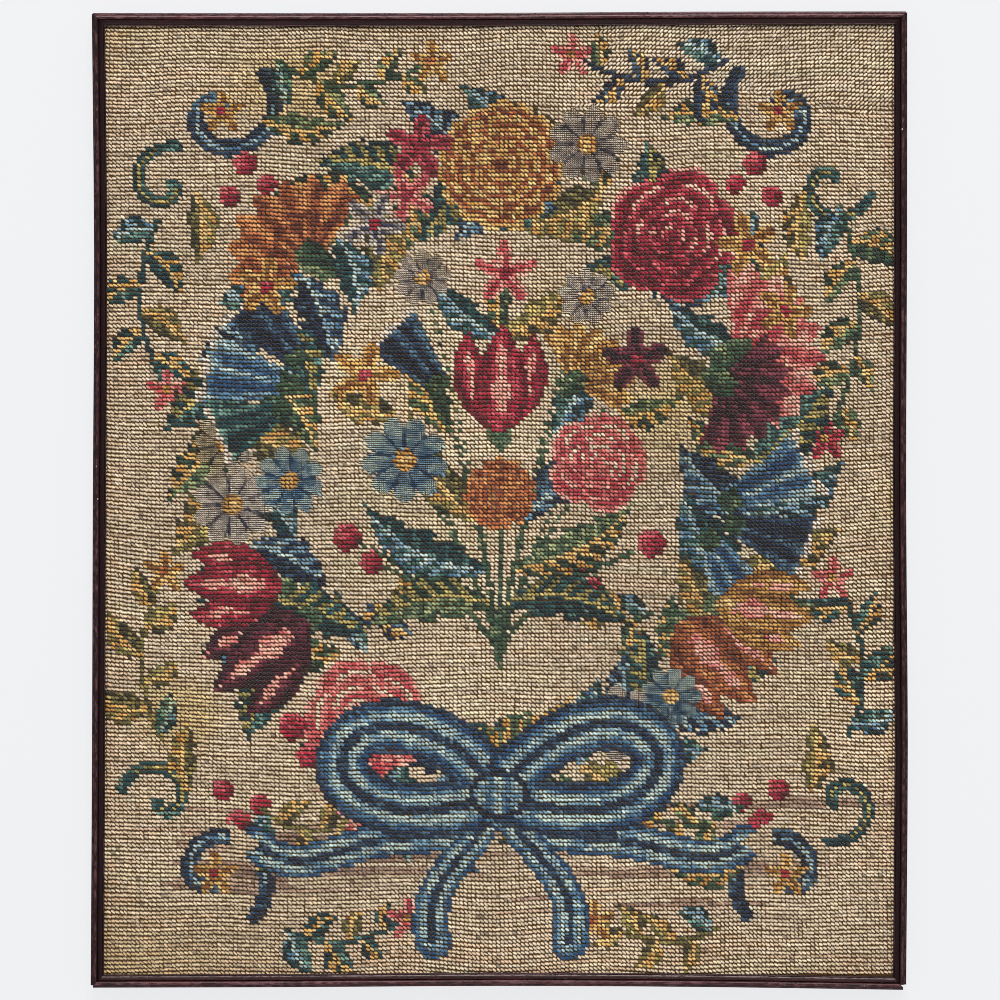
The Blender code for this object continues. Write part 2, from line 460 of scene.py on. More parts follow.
def daisy(chart, place, size, yarn, turn):
    """A daisy in petit point: nine petals with deep gaps, pale towards their
    tips, round a gold eye in the larger stitch."""
    window, rho, theta = chart.open_face(place, size, turn)
    lobe = np.abs(np.cos(4.5 * theta))
    inside = rho < 0.62 + 0.38 * lobe**0.5
    tone = 0.42 + 0.55 * rho - 0.6 * (lobe < 0.34) + 0.1 * np.cos(theta - 1.5)
    chart.lay(window, inside, yarn, tone, fine=True)
    chart.lay(window, rho < 0.27, "gold", 0.9 - 2.0 * rho)


def tulip(chart, place, size, yarn, turn):
    """A tulip from its base along its turn: two petals behind, leaning out, and
    one in front. A petal's half width is a sine of the place along it. It is
    deep at its edges and flamed along its middle."""
    window, s, t = chart.profile(place, size, turn)
    chart.lay(window, (s**2 / 0.02 + t**2 / 0.012 < 1), "green", 0.5)
    for lean, width, long in ((-0.30, 0.20, 0.92), (0.30, 0.20, 0.92), (-0.02, 0.25, 1.0)):
        along = np.clip(s / long, 0, 1)
        middle = lean * np.sin(np.pi * 0.55 * along)
        half = width * np.sin(np.pi * along**0.72) ** 0.8
        off = np.abs(t - middle) / np.maximum(half, 0.01)
        inside = (off < 1) & (s > 0) & (s < long)
        streak = 0.16 * np.sin(34 * (t - middle))
        chart.lay(window, inside, yarn, 0.72 - 0.62 * off + streak)
        core = inside & (off < 0.42 - 0.3 * along + 0.12 * np.sin(20 * along)) & (along > 0.18)
        chart.lay(window, core, "coral", 0.85 - 0.5 * off)


def carnation(chart, place, size, yarn, turn):
    """A carnation from the side: a fan of frilled petals over its green calyx.
    The rim is a saw tooth of the angle, and streaks fan out with it."""
    window, s, t = chart.profile(place, size, turn)
    calyx = (s > -0.1) & (s < 0.34) & (np.abs(t) < 0.05 + 0.11 * np.sin(np.pi * (s + 0.1) / 0.5))
    rho, theta = np.hypot(s - 0.12, t), np.arctan2(t, s - 0.12)
    frill = 0.74 + 0.14 * np.abs((theta * 2.9) % 1 - 0.5) * 2
    fan = (rho < frill) & (np.abs(theta) < 1.32) & (rho > 0.1)
    streak = 0.5 + 0.36 * np.sin(15 * theta + 5 * rho) + 0.5 * (rho - 0.5)
    fold = np.abs(rho - 0.42 - 0.05 * np.sin(9 * theta)) < 0.05
    chart.lay(window, fan, yarn, streak - 0.5 * fold)
    chart.lay(window, calyx, "green", 0.35 + 1.8 * t)


def bell(chart, place, size, yarn, turn):
    """A bellflower from its base along its turn: its half width swells and then
    flares to a scalloped mouth, with stripes that run down it."""
    window, s, t = chart.profile(place, size, turn)
    half = 0.13 + 0.12 * np.sin(np.pi * np.clip(s, 0, 1) * 0.8) + 0.24 * np.clip(s, 0, 1) ** 3
    mouth = 0.9 + 0.1 * np.abs(np.cos(9 * t))
    inside = (np.abs(t) < half) & (s > 0) & (s < mouth)
    stripe = 0.45 + 0.35 * np.cos(7.5 * t / np.maximum(half, 0.05))
    chart.lay(window, inside, yarn, stripe - 0.25 * (t > 0) + 0.3 * (s > 0.84))
    chart.lay(window, inside & (s > 0.9), "lilac", 0.95)
    chart.lay(window, (np.abs(t) < 0.12) & (s > -0.12) & (s < 0.12), "green", 0.3)


def star(chart, place, size, yarn, turn, heart="crimson"):
    """A small open flower of five pointed petals, deep along their middles."""
    window, rho, theta = chart.open_face(place, size, turn)
    lobe = np.abs(np.cos(2.5 * theta))
    tone = 0.85 - 0.6 * (lobe > 0.93) - 0.35 * (1 - rho)
    chart.lay(window, rho < 0.36 + 0.64 * lobe**1.3, yarn, tone)
    chart.lay(window, rho < 0.2, heart, 0.6 - 1.5 * rho)


def berry(chart, place, size, yarn, turn=0.0):
    """A berry: a disc shaded away from its light upper left."""
    window, p, q = chart.near(place, size * 1.05, turn)
    chart.lay(window, np.hypot(p, q) < size, yarn, 0.5 - 0.42 * (p - q) / size)


def scroll(chart, place, size, yarn, start, turns, inner="sky"):
    """A curled leaf: a band that narrows along a spiral, lit on its outer side."""
    path = spiral(place, size, start, turns)
    half = np.linspace(0.25, 0.9, len(path)) ** 0.5 * size * 0.2
    half = half * np.linspace(1.25, 0.75, len(path))
    trail(chart, path, half, yarn, lambda across, along: 0.38 + 0.22 * across + 0.2 * (along > 0.7))
    trail(chart, path[8:-8], half[8:-8] * 0.28, inner, 0.72)


def satin(across, along):
    """The tones of a ribbon: bright bands run along it between deep edges."""
    bands = 0.56 - 0.36 * np.cos(7.0 * across) + 0.14 * np.cos(9 * along * math.pi)
    return np.where(np.abs(across) > 0.8, 0.05, bands)


def ribbon(chart, path, half):
    """A striped ribbon along a path, with a navy line along its middle."""
    trail(chart, path, half, "sky", satin)
    trail(chart, path, half * 0.22, "navy", 0.45)


def bow_knot(chart, x, y):
    """The ribbon bow: two waving tails with swallow ends, two short ones, two
    loops and the knot."""
    for side in (-1, 1):
        tail = curve(
            (x, y), (x + side * 12, y - 22), (x + side * 32, y + 4),
            (x + side * 42, y - 26), (x + side * 60, y - 12), steps=80,
        )
        ribbon(chart, tail, 4.2)
        fork = chart.near((x + side * 60, y - 12), 6)
        chart.lay(fork[0], (np.abs(fork[2]) < side * fork[1] * 0.7 + 1), "cream", 0.5)
        drop = curve(
            (x, y), (x + side * 4, y - 14), (x + side * 20, y - 18), (x + side * 17, y - 36),
        )
        ribbon(chart, drop, np.linspace(3.0, 4.6, len(drop)))
        loop = curve(
            (x, y), (x + side * 22, y + 32), (x + side * 56, y + 20),
            (x + side * 46, y - 16), (x, y), steps=90,
        )
        trail(chart, loop, 6.6, "navy", 0.42)
        ribbon(chart, loop, 5.4)
    window, p, q = chart.near((x, y), 9)
    knot = (p / 7.0) ** 2 + (q / 5.6) ** 2
    chart.lay(window, knot < 1, "sky", 0.6 + 0.3 * np.cos(p * 1.4))
    chart.lay(window, (knot > 0.72) & (knot < 1.15), "navy", 0.2)


FLOWERS = {
    "rose": rose, "marigold": marigold, "daisy": daisy, "tulip": tulip,
    "carnation": carnation, "bell": bell, "star": star, "berry": berry,
}

# The garland: an oval of leaves, with flowers laid over it.
OVAL = (97.0, 124.0, 62.0, 76.0)     # middle across and up, half width, half height
LEAF_STATIONS = 34
LEAF_YARNS = (                       # of a leaf and of its rib
    ("teal", "sky"), ("green", "gold"), ("navy", "sky"), ("olive", "gold"), ("teal", "olive"),
)

# The flowers of the garland: kind, across, up, size, yarn, turn.
GARLAND = (
    ("marigold", 97, 200, 16.0, "gold", 20),
    ("daisy", 118, 205, 9.5, "lilac", 0),
    ("star", 77, 205, 8.5, "crimson", 12),
    ("star", 74, 193, 7.5, "coral", 40),
    ("rose", 139, 183, 17.0, "crimson", 0),
    ("star", 157, 180, 8.0, "gold", 30),
    ("carnation", 150, 152, 26.0, "coral", 18),
    ("carnation", 148, 148, 20.0, "maroon", -30),
    ("star", 166, 164, 7.0, "gold", 0),
    ("bell", 153, 118, 22.0, "sky", 24),
    ("bell", 154, 112, 20.0, "navy", -20),
    ("bell", 148, 108, 20.0, "sky", -62),
    ("tulip", 141, 88, 28.0, "rust", -48),
    ("tulip", 150, 92, 24.0, "gold", -8),
    ("daisy", 127, 62, 9.5, "lilac", 20),
    ("daisy", 139, 69, 7.5, "sky", 0),
    ("rose", 64, 64, 16.5, "coral", 48),
    ("berry", 46, 62, 3.4, "crimson", 0),
    ("berry", 50, 55, 3.0, "crimson", 0),
    ("tulip", 50, 88, 29.0, "maroon", 218),
    ("tulip", 44, 96, 25.0, "crimson", 178),
    ("daisy", 32, 116, 10.0, "lilac", 0),
    ("daisy", 46, 122, 8.5, "sky", 24),
    ("daisy", 30, 131, 7.5, "lilac", 12),
    ("bell", 46, 146, 22.0, "sky", 168),
    ("bell", 48, 152, 20.0, "navy", 130),
    ("bell", 44, 140, 18.0, "teal", 204),
    ("carnation", 54, 174, 25.0, "rust", 132),
    ("star", 40, 170, 7.5, "gold", 10),
    ("star", 66, 186, 8.0, "lilac", 66),
)

# The posy in the middle of the garland: a stem from the tie to each flower.
TIE = (97, 86)
KNOT = (97, 45)                      # the ribbon bow's, below the garland
POSY = (
    # kind, across, up, size, yarn, turn
    ("tulip", 97, 134, 27.0, "crimson", 90),
    ("daisy", 74, 127, 10.5, "sky", 70),
    ("rose", 121, 127, 13.0, "coral", 0),
    ("bell", 82, 146, 19.0, "navy", 132),
    ("carnation", 113, 145, 18.0, "gold", 44),
    ("star", 64, 148, 8.5, "gold", 0),
    ("star", 130, 152, 8.5, "maroon", 20),
    ("marigold", 97, 119, 9.0, "rust", 18),
    ("berry", 60, 108, 3.4, "crimson", 0),
    ("berry", 66, 102, 2.8, "crimson", 0),
    ("berry", 134, 107, 3.4, "crimson", 0),
    ("star", 98, 174, 8.0, "coral", 90),
    ("daisy", 78, 172, 7.0, "lilac", 90),
    ("daisy", 118, 168, 7.0, "lilac", 90),
)
POSY_LEAVES = (
    # across, up, turn, length, width, yarn, bend, lobes, rib
    (94, 100, 152, 34, 13, "teal", 0.12, 4, "sky"),
    (100, 100, 30, 34, 13, "green", -0.12, 4, "gold"),
    (92, 112, 122, 32, 11, "olive", 0.10, 3, "gold"),
    (102, 112, 62, 32, 11, "navy", -0.10, 3, "sky"),
    (95, 92, 190, 31, 12, "green", -0.12, 4, "olive"),
    (99, 92, 350, 31, 12, "teal", 0.12, 4, "olive"),
    (84, 134, 104, 26, 10, "green", 0.10, 3, "gold"),
    (110, 134, 74, 26, 10, "teal", -0.10, 3, "sky"),
    (97, 158, 140, 22, 9, "teal", 0.1, 2, "sky"),
    (97, 158, 40, 22, 9, "olive", -0.1, 2, "gold"),
    (97, 160, 92, 16, 7, "green", 0.05, 2, "gold"),
    (72, 138, 160, 18, 8, "olive", 0.1, 2, "gold"),
    (124, 138, 16, 18, 8, "green", -0.1, 2, "gold"),
)

# The corner sprigs: across, up, how they are turned to the corner.
CORNERS = ((25, 209, 1, -1), (169, 209, -1, -1), (23, 29, 1, 1), (171, 29, -1, 1))

# Branches in the open ground: three guide points each, across and up, then the
# leaves' length, the yarn and the bud at the tip.
BRANCHES = (
    ((14, 186), (4, 166), (16, 144), 15.0, "teal", "coral"),
    ((180, 190), (190, 160), (176, 132), 16.0, "green", "crimson"),
    ((14, 58), (4, 78), (15, 100), 15.0, "olive", "gold"),
    ((182, 60), (191, 78), (178, 98), 15.0, "teal", "coral"),
    ((42, 226), (58, 214), (80, 226), 13.0, "green", "gold"),
    ((152, 226), (136, 214), (114, 227), 13.0, "navy", "coral"),
    ((60, 90), (70, 84), (78, 96), 11.0, "navy", "gold"),
    ((134, 90), (126, 84), (117, 96), 11.0, "green", "crimson"),
    ((38, 42), (50, 33), (62, 40), 12.0, "olive", "coral"),
    ((156, 42), (144, 33), (131, 40), 12.0, "green", "gold"),
    ((44, 12), (58, 5), (74, 14), 12.0, "teal", "coral"),
    ((150, 12), (136, 5), (120, 14), 12.0, "olive", "gold"),
)


def lay_garland_leaves(chart):
    """Leaves all round the oval, as in a laurel wreath: one on either side of
    each station, turned a little out and in from the oval's own heading, with
    seeded sizes and turns."""
    draw = np.random.default_rng(7)
    x0, y0, wide, high = OVAL
    for number in range(LEAF_STATIONS):
        angle = math.tau * number / LEAF_STATIONS + 0.05
        x, y = x0 + wide * math.cos(angle), y0 + high * math.sin(angle)
        heading = math.degrees(math.atan2(high * math.cos(angle), -wide * math.sin(angle)))
        for side in (-1, 1):
            yarn, rib = LEAF_YARNS[(2 * number + side) % len(LEAF_YARNS)]
            turn = heading + side * draw.uniform(34, 58)
            length = draw.uniform(19, 27)
            leaf(
                chart, (x, y), turn, length, length * draw.uniform(0.46, 0.58), yarn,
                side * draw.uniform(0.02, 0.14), int(draw.integers(3, 5)), rib,
            )


def branch(chart, guides, leaf_length, yarn, flower):
    """A curved twig with leaves in turn on either side, of seeded sizes and
    turns, that shorten towards its tip, and a flower there."""
    path = curve(*guides, steps=60)
    trail(chart, path, 0.7, yarn, 0.3)
    draw = np.random.default_rng(int(guides[0][0] * 7 + guides[0][1]))
    run = np.hypot(*np.diff(path, axis=0).T).sum()
    leaves = max(int(run / (0.42 * leaf_length)), 5)
    for number in range(leaves):
        step = int(56 * (number + draw.uniform(0.1, 0.5)) / leaves)
        at, ahead = path[step], path[step + 1]
        heading = math.degrees(math.atan2(*(ahead - at)[::-1]))
        size = leaf_length * draw.uniform(0.75, 1.1) * (1 - 0.3 * number / leaves)
        lean = draw.uniform(34, 62) * (1 if number % 2 else -1)
        kind, rib = (yarn, "gold") if number % 3 else LEAF_YARNS[number % len(LEAF_YARNS)]
        wide = size * draw.uniform(0.46, 0.6)
        leaf(chart, at, heading + lean, size, wide, kind, lean / 500, 0, rib)
    star(chart, path[-1], 5.4, flower, 90, heart="gold" if flower != "gold" else "rust")


def corner_sprig(chart, x, y, over, rise):
    """Two scrolls that curl towards the corner, with leaves and berries."""
    turn, curl = math.degrees(math.atan2(-rise, -over)), over * rise
    scroll(chart, (x + over * 4, y - rise * 4), 14.0, "navy", turn + 90 * curl, 0.9 * curl)
    scroll(chart, (x - over * 9, y + rise * 14), 10.0, "teal", turn - 60, -0.8 * curl, "olive")
    level = 0 if over > 0 else 180
    leaf(chart, (x + over * 14, y - rise * 2), level, 20, 8, "green", 0.1 * rise, 3, "gold")
    leaf(chart, (x - over * 2, y + rise * 16), 90 * rise, 18, 8, "olive", 0.1 * over, 3, "gold")
    for across, up, size in ((10, 9, 3.0), (15, 14, 2.4), (6, 17, 2.6)):
        berry(chart, (x + over * across, y + rise * up), size, "crimson")
    star(chart, (x + over * 4, y - rise * 4), 5.6, "gold", 20, heart="crimson")


def lay_ground(chart):
    """The ground: cream, with dye lots in level streaks, a greener middle,
    browner sides and foot, and mauve-brown streaks low down."""
    rows, columns = chart.tone.shape
    streaks = cloudy(rows, columns, 2, 60, 11)
    patches = cloudy(rows, columns, 40, 50, 12)
    u, v = chart.across / chart.columns, chart.up / chart.rows
    chart.tone[:] = 0.62 + 0.07 * streaks + 0.07 * patches
    rim = np.minimum(np.minimum(u, 1 - u), v)
    whole = (slice(None), slice(None))
    head = np.exp((v - 1) / 0.06)
    brown = 0.8 * streaks + 0.8 * patches + 2.4 * np.exp(-rim / 0.03) - 1.6 * head > 1.6
    chart.lay(whole, brown, "sand", chart.tone + 0.05)
    middle = np.exp(-((u - 0.5) ** 2 + (v - 0.5) ** 2) / 0.09)
    green = cloudy(rows, columns, 5, 36, 13) + 1.5 * middle > 1.5
    chart.lay(whole, green, "sage", chart.tone + 0.1)
    low = np.exp(-(((v - 0.125) / 0.06) ** 4) - ((u - 0.5) / 0.42) ** 12)
    level = cloudy(rows, columns, 3.2, 80, 14)
    chart.lay(whole, (level + 1.9 * low > 2.15) & (v < 0.24), "taupe", 0.6 + 0.2 * streaks)


@functools.cache
def worked_chart(columns, rows):
    """The whole design: an oval garland round a posy, a ribbon bow below it,
    and sprigs in the corners and the open ground."""
    chart = Chart(columns, rows)
    lay_ground(chart)
    for x, y, over, rise in CORNERS:
        corner_sprig(chart, x, y, over, rise)
    for *guides, leaf_length, yarn, flower in BRANCHES:
        branch(chart, guides, leaf_length, yarn, flower)
    lay_garland_leaves(chart)
    for _, x, y, *_ in POSY:
        middle = ((x + TIE[0]) / 2 + (TIE[0] - x) * 0.15, (y + TIE[1]) / 2)
        trail(chart, curve((TIE[0], TIE[1] - 10), TIE, middle, (x, y)), 0.7, "green", 0.35)
    for x, y, turn, length, width, yarn, bend, lobes, rib in POSY_LEAVES:
        leaf(chart, (x, y), turn, length, width, yarn, bend, lobes, rib)
    for kind, x, y, size, yarn, turn in GARLAND + POSY:
        FLOWERS[kind](chart, (x, y), size, yarn, turn)
    bow_knot(chart, *KNOT)
    worked = chart.yarn > YARN_NAMES.index("taupe")
    mottle = cloudy(*chart.tone.shape, 2, 2, 21) * np.where(worked, 0.16, 0.07)
    mottle += cloudy(*chart.tone.shape, 2, 9, 22) * 0.05
    chart.tone = np.clip(chart.tone + mottle, 0, 1)
    return chart


def yarn_colours(colours, yarn, tone):
    """Linear colours of stitches from their yarns and tones: the tone is set to
    the nearest of the dye steps, and mixed between deep, middle and pale."""
    table = np.array([
        [getattr(colours, f"{name}_{step}")[:] for step in TONES] for name in YARN_NAMES
    ])
    level = np.round(tone * (DYE_STEPS - 1)) / (DYE_STEPS - 1) * 2
    low = np.minimum(level.astype(int), 1)
    share = (level - low)[..., None]
    return table[yarn, low] * (1 - share) + table[yarn, low + 1] * share


def grain_form(rings):
    """A stitch's closed form in its own space: rings of left edge, ridge and
    right edge at places along it from -1 to 1, with a point at each end.
    Returns the points (along, beside, how low from 0 to 1, how deep in painted shade), the
    triangles, and each corner's place on the grain's own map."""
    # Painted shade: each point's last number darkens the wool, least along the ridge and most at
    # the sides and ends.
    places = [(-1.0, 0.0, 0.8, 0.55)]
    for s in rings:
        wide = (1 - abs(s) ** 2.2) ** 0.5
        low = 0.66 + 0.16 * s * s
        ridge = (s, 0.0, 0.34 * abs(s) ** 2, 0.06 + 0.12 * abs(s))
        places += [(s, wide, low, 0.58), ridge, (s, -wide, low, 0.58)]
    places.append((1.0, 0.0, 0.8, 0.55))
    last = len(places) - 1
    faces = []
    for k in range(3):
        after = (k + 1) % 3
        faces.append((0, 1 + after, 1 + k))
        for ring in range(len(rings) - 1):
            a, b = 1 + 3 * ring + k, 1 + 3 * ring + after
            faces += [(a, b, b + 3), (a, b + 3, a + 3)]
        faces.append((last, last - 3 + k, last - 3 + after))
    places, faces = np.array(places), np.array(faces)
    where = places[faces][..., :2].copy()
    under = len(faces) * 2 // 3
    # The underside takes a strip at the map's edge, where the wool is as deep in painted shade.
    where[under:, :, 1] = -0.9 + 0.1 * where[under:, :, 1]
    return places, faces, where


def surface_mesh(name, points, faces, smooth=True):
    """A mesh of triangles from arrays of points and faces."""
    mesh = bpy.data.meshes.new(name)
    mesh.vertices.add(len(points))
    mesh.vertices.foreach_set("co", np.ascontiguousarray(points, np.float32).ravel())
    mesh.loops.add(3 * len(faces))
    mesh.loops.foreach_set("vertex_index", np.ascontiguousarray(faces, np.int32).ravel())
    mesh.polygons.add(len(faces))
    mesh.polygons.foreach_set("loop_start", np.arange(0, 3 * len(faces), 3, dtype=np.int32))
    mesh.polygons.foreach_set("use_smooth", np.full(len(faces), smooth))
    mesh.update(calc_edges=True)
    return mesh


def paint_points(mesh, name, colours):
    """Keeps a colour on each point of a mesh."""
    layer = mesh.color_attributes.new(name, "FLOAT_COLOR", "POINT")
    rgba = np.ones((len(colours), 4), np.float32)
    rgba[:, :3] = colours
    layer.data.foreach_set("color", rgba.ravel())


def walls(rim, offset):
    """Two triangles a side from a closed rim down to the one whose points come
    so many places later."""
    after = np.roll(rim, -1)
    return np.concatenate([
        np.stack([rim, rim + offset, after + offset], 1),
        np.stack([rim, after + offset, after], 1),
    ])


def add_piece(mesh, material):
    """An object of the mesh, in its material."""
    obj = bpy.data.objects.new(mesh.name, mesh)
    mesh.materials.append(material)
    bpy.context.scene.collection.objects.link(obj)
    return obj


def stitch_grid(sizes):
    """How many stitches the canvas takes each way: its opening and a little
    under the lip."""
    tucked = 2 * (RAIL_WIDTH - STITCH_INSET)
    wide = FRAME_WIDTH - 2 * RAIL_WIDTH + tucked
    high = FRAME_HEIGHT - 2 * RAIL_WIDTH + tucked
    return round(wide / sizes.pitch_across), round(high / sizes.pitch_up)


def stitch_places(sizes, across, up):
    """Where chart places lie on the real canvas: the even grid, with the thread
    lines' drift, the sags and the scallops. Returns x and y in metres, and the
    place on the canvas from 0 to 1."""
    columns, rows = stitch_grid(sizes)
    u, v = across / columns, up / rows
    x = (across - columns / 2) * sizes.pitch_across + drift(DRIFT_ACROSS, u, v)
    y = (up - rows / 2) * sizes.pitch_up + drift(DRIFT_UP, u, v)
    for height, spread, left, right in SAGS:
        pulled = left * np.exp(-u / SAG_REACH) + right * np.exp((u - 1) / SAG_REACH)
        y = y + pulled * np.exp(-(((v - height) / spread) ** 2))
    count, start, depth, reach = SCALLOPS
    y = y + depth * np.sin(math.tau * count * (u - start)) * np.exp(-np.maximum(v, 0) / reach)
    middle_x = (side_place("left", 0.5) + side_place("right", 0.5)) / 2
    middle_y = (side_place("bottom", 0.5) + side_place("top", 0.5)) / 2
    x, y = x + middle_x, y + middle_y
    wide = FRAME_WIDTH - 2 * CANVAS_INSET
    high = FRAME_HEIGHT - 2 * CANVAS_INSET
    u, v = (x - middle_x) / wide + 0.5, (y - middle_y) / high + 0.5
    return x, y, u, v


def turned_corner(cells, at, u, v):
    """Whether each stitch's slant is the mirrored one: at the top right the
    worker turned the canvas. The edge of that part wanders from row to row."""
    edge_row = 0.915 + 0.012 * cloudy(*cells, 3, 14, 53)[at]
    edge_column = 0.62 + 0.03 * cloudy(*cells, 2, 40, 54)[at]
    return (v > edge_row) & (u > edge_column)


def stitch_lie(draw, sizes, cell, u, v, mirrored):
    """Each stitch's turn, length, width and lift: the usual ones, a little longer
    and more level towards the left side, and each with a random share. Under
    the lip no stitch stands up."""
    rough, count = sizes.unevenness, len(u)
    ribbing = np.clip(0.9 - 1.6 * u, 0, 1)
    turn = np.where(mirrored, 1.15, ribbing * 0.16 - 1) * sizes.slant
    turn = turn + draw.normal(0, 0.17 * rough, count)
    length = sizes.length * cell * draw.normal(1 + 0.05 * ribbing, 0.08 * rough, count)
    narrow = 1.0 if cell == 1 else 0.84
    width = narrow * sizes.width * cell * draw.normal(1 + 0.02 * ribbing, 0.09 * rough, count)
    lift = draw.normal(-0.08 * MM, 0.08 * MM * rough, count)
    edge = np.minimum(np.minimum(u, 1 - u) * FRAME_WIDTH, np.minimum(v, 1 - v) * FRAME_HEIGHT)
    lift = np.where(edge < UNDER_LIP, np.minimum(lift, -0.02 * MM), lift)
    return turn, length, width, lift


def set_grains(s, t, x, y, height, turn, length, width):
    """The points of all stitches: the grain's places along and beside it, drawn
    out to each stitch's length and width, turned, and set on its crossing."""
    along = s * length[:, None] / 2
    beside = t * width[:, None] / 2
    c, n = np.cos(turn)[:, None], np.sin(turn)[:, None]
    points = np.empty((*height.shape, 3), np.float32)
    points[..., 0] = x[:, None] + along * c - beside * n
    points[..., 1] = y[:, None] + along * n + beside * c
    points[..., 2] = height
    return points.reshape(-1, 3)


def map_grains(mesh, where, across, up, cell, grid):
    """The stitches' own map: each one's grain in its square of the canvas."""
    spots = np.empty((len(across), *where.shape), np.float32)
    for axis, (middle, squares) in enumerate(zip((across, up), grid)):
        spots[..., axis] = (middle[:, None, None] + 0.44 * cell * where[..., axis]) / squares
    layer = mesh.uv_layers.new(name="OFBake", do_init=False)
    layer.uv.foreach_set("vector", spots.ravel())


def work_stitches(name, sizes, across, up, colours, cell, rings, material):
    """One piece of many stitches, worked out as whole arrays. Each stitch is the grain form, with
    painted shade towards its sides and ends, as on a round yarn. It closes up with its neighbours
    in the row, most near the sides of the canvas, and falls away deeper towards the next rows,
    where its painted shade deepens too."""
    draw = np.random.default_rng(sum(map(ord, name)))
    x, y, u, v = stitch_places(sizes, across, up)
    inset = np.minimum(
        np.minimum(x - side_place("left", v), side_place("right", v) - x),
        np.minimum(y - side_place("bottom", u), side_place("top", u) - y),
    )
    keep = inset > STITCH_INSET
    x, y, u, v, colours, across, up = (each[keep] for each in (x, y, u, v, colours, across, up))
    count, jitter = len(x), sizes.unevenness * cell
    columns, rows = stitch_grid(sizes)
    cells, at = (rows + 1, columns + 1), (up.astype(int), across.astype(int))
    # Neighbours in a row wander together, and so do neighbours in a column.
    x = x + MM * (0.11 * cloudy(*cells, 2.4, 1.3, 51)[at] + draw.normal(0, 0.07 * jitter, count))
    y = y + MM * (0.12 * cloudy(*cells, 1, 9, 52)[at] + draw.normal(0, 0.08 * jitter, count))
    mirrored = turned_corner(cells, at, u, v)
    turn, length, width, lift = stitch_lie(draw, sizes, cell, u, v, mirrored)
    places, faces, where = grain_form(rings)
    s, t, low, painted_shade = places.T
    closing = np.where(mirrored, 1.0, -1.0) * (0.4 + 0.6 * np.abs(2 * u - 1))
    to_next_row = closing[:, None] * np.sign(s * t)
    low = np.minimum(low + 0.2 * to_next_row, 0.93)
    # Painted shade: darker on the side that faces the gap to the next row, lighter towards the
    # neighbour in the row.
    painted_shade = painted_shade + 0.36 * to_next_row
    height = (CANVAS_FACE + cockle(u, v) + lift)[:, None] - low * sizes.depth
    points = set_grains(s, t, x, y, height, turn, length, width)
    # The wool's colour, mixed towards the deep brown of the painted shade.
    wool = colours[:, None, :] * (1 - painted_shade[..., None] * (1 - np.array(PAINTED_SHADE_TINT)))
    step = np.arange(count)[:, None, None] * len(places)
    mesh = surface_mesh(name, points, (faces[None] + step).reshape(-1, 3))
    paint_points(mesh, "wool", wool.reshape(-1, 3))
    map_grains(mesh, where, across, up, cell, (columns, rows))
    obj = add_piece(mesh, material)
    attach(obj, "root")


def stitch_colours(colours, yarn, tone, across, up, seed):
    """The stitches' colours: the dyed yarn, faded in level streaks and patches,
    yellowed in a few stains, and each a little different."""
    draw = np.random.default_rng(seed)
    wool = yarn_colours(colours, yarn, tone)
    rows, columns = int(up.max()) + 1, int(across.max()) + 1
    at = (up.astype(int), across.astype(int))
    streak = cloudy(rows, columns, 1, 34, 31)[at]
    patch = cloudy(rows, columns, 28, 36, 32)[at]
    stain = np.clip(cloudy(rows, columns, 26, 30, 33)[at] - 1.3, 0, 1)
    stain = stain + 0.8 * np.exp(-((across / 34) ** 2) - (up / 15) ** 2)
    stain = stain + 0.5 * np.exp(-((across / 26) ** 2) - ((up - rows) / 10) ** 2)
    wool = wool * (1 + 0.05 * streak + 0.05 * patch + draw.normal(0, 0.115, len(across)))[:, None]
    wool = wool * (1 - stain[:, None] * np.array((0.08, 0.14, 0.40)))
    wool[draw.random(len(across)) < 0.006] *= 0.45
    return np.clip(wool, 0.002, 0.95)


def feed(tree, made, inputs):
    """Feeds a node's inputs. A value is a number, a vector, a colour, or another
    node's output, which is then linked."""
    for key, value in inputs.items():
        socket = made.inputs[key]
        if isinstance(value, bpy.types.NodeSocket):
            tree.links.new(value, socket)
        elif socket.type == "RGBA" and len(value) == 3:
            socket.default_value = (*value, 1.0)
        else:
            socket.default_value = value


def node(tree, kind, inputs=None, **settings):
    """Adds a node with its settings, and feeds its inputs."""
    made = tree.nodes.new(kind)
    for key, value in settings.items():
        setattr(made, key, value)
    feed(tree, made, inputs or {})
    return made


def maths(tree, operation, *values):
    """A Math node's output."""
    return node(tree, "ShaderNodeMath", dict(enumerate(values)), operation=operation).outputs[0]


def product(tree, first, second):
    """Two values multiplied."""
    return maths(tree, "MULTIPLY", first, second)


def ramp(tree, value, low, high, start=0.0, stop=1.0):
    """A value carried from low..high to start..stop, smoothly and clamped."""
    inputs = {"Value": value, "From Min": low, "From Max": high, "To Min": start, "To Max": stop}
    return node(tree, "ShaderNodeMapRange", inputs, interpolation_type="SMOOTHSTEP").outputs[0]


def band(tree, value, low, foot, head, high):
    """A mask that rises from low to foot and falls again from head to high."""
    return product(tree, ramp(tree, value, low, foot), ramp(tree, value, high, head))


def blend_colours(tree, share, first, second, kind="MIX"):
    """A colour mixed from two by a share."""
    inputs = {0: share, 6: first, 7: second}
    made = node(tree, "ShaderNodeMix", inputs, data_type="RGBA", blend_type=kind)
    return made.outputs[2]


def grey(tree, value):
    """A value as a grey."""
    inputs = dict.fromkeys(("Red", "Green", "Blue"), value)
    return node(tree, "ShaderNodeCombineColor", inputs).outputs[0]


def component(tree, vector, axis):
    """A vector's x, y or z."""
    return node(tree, "ShaderNodeSeparateXYZ", {"Vector": vector}).outputs["XYZ".index(axis)]


def surface_facing(tree):
    """How far the surface faces up, from -1 to 1."""
    return component(tree, node(tree, "ShaderNodeNewGeometry").outputs["Normal"], "Z")


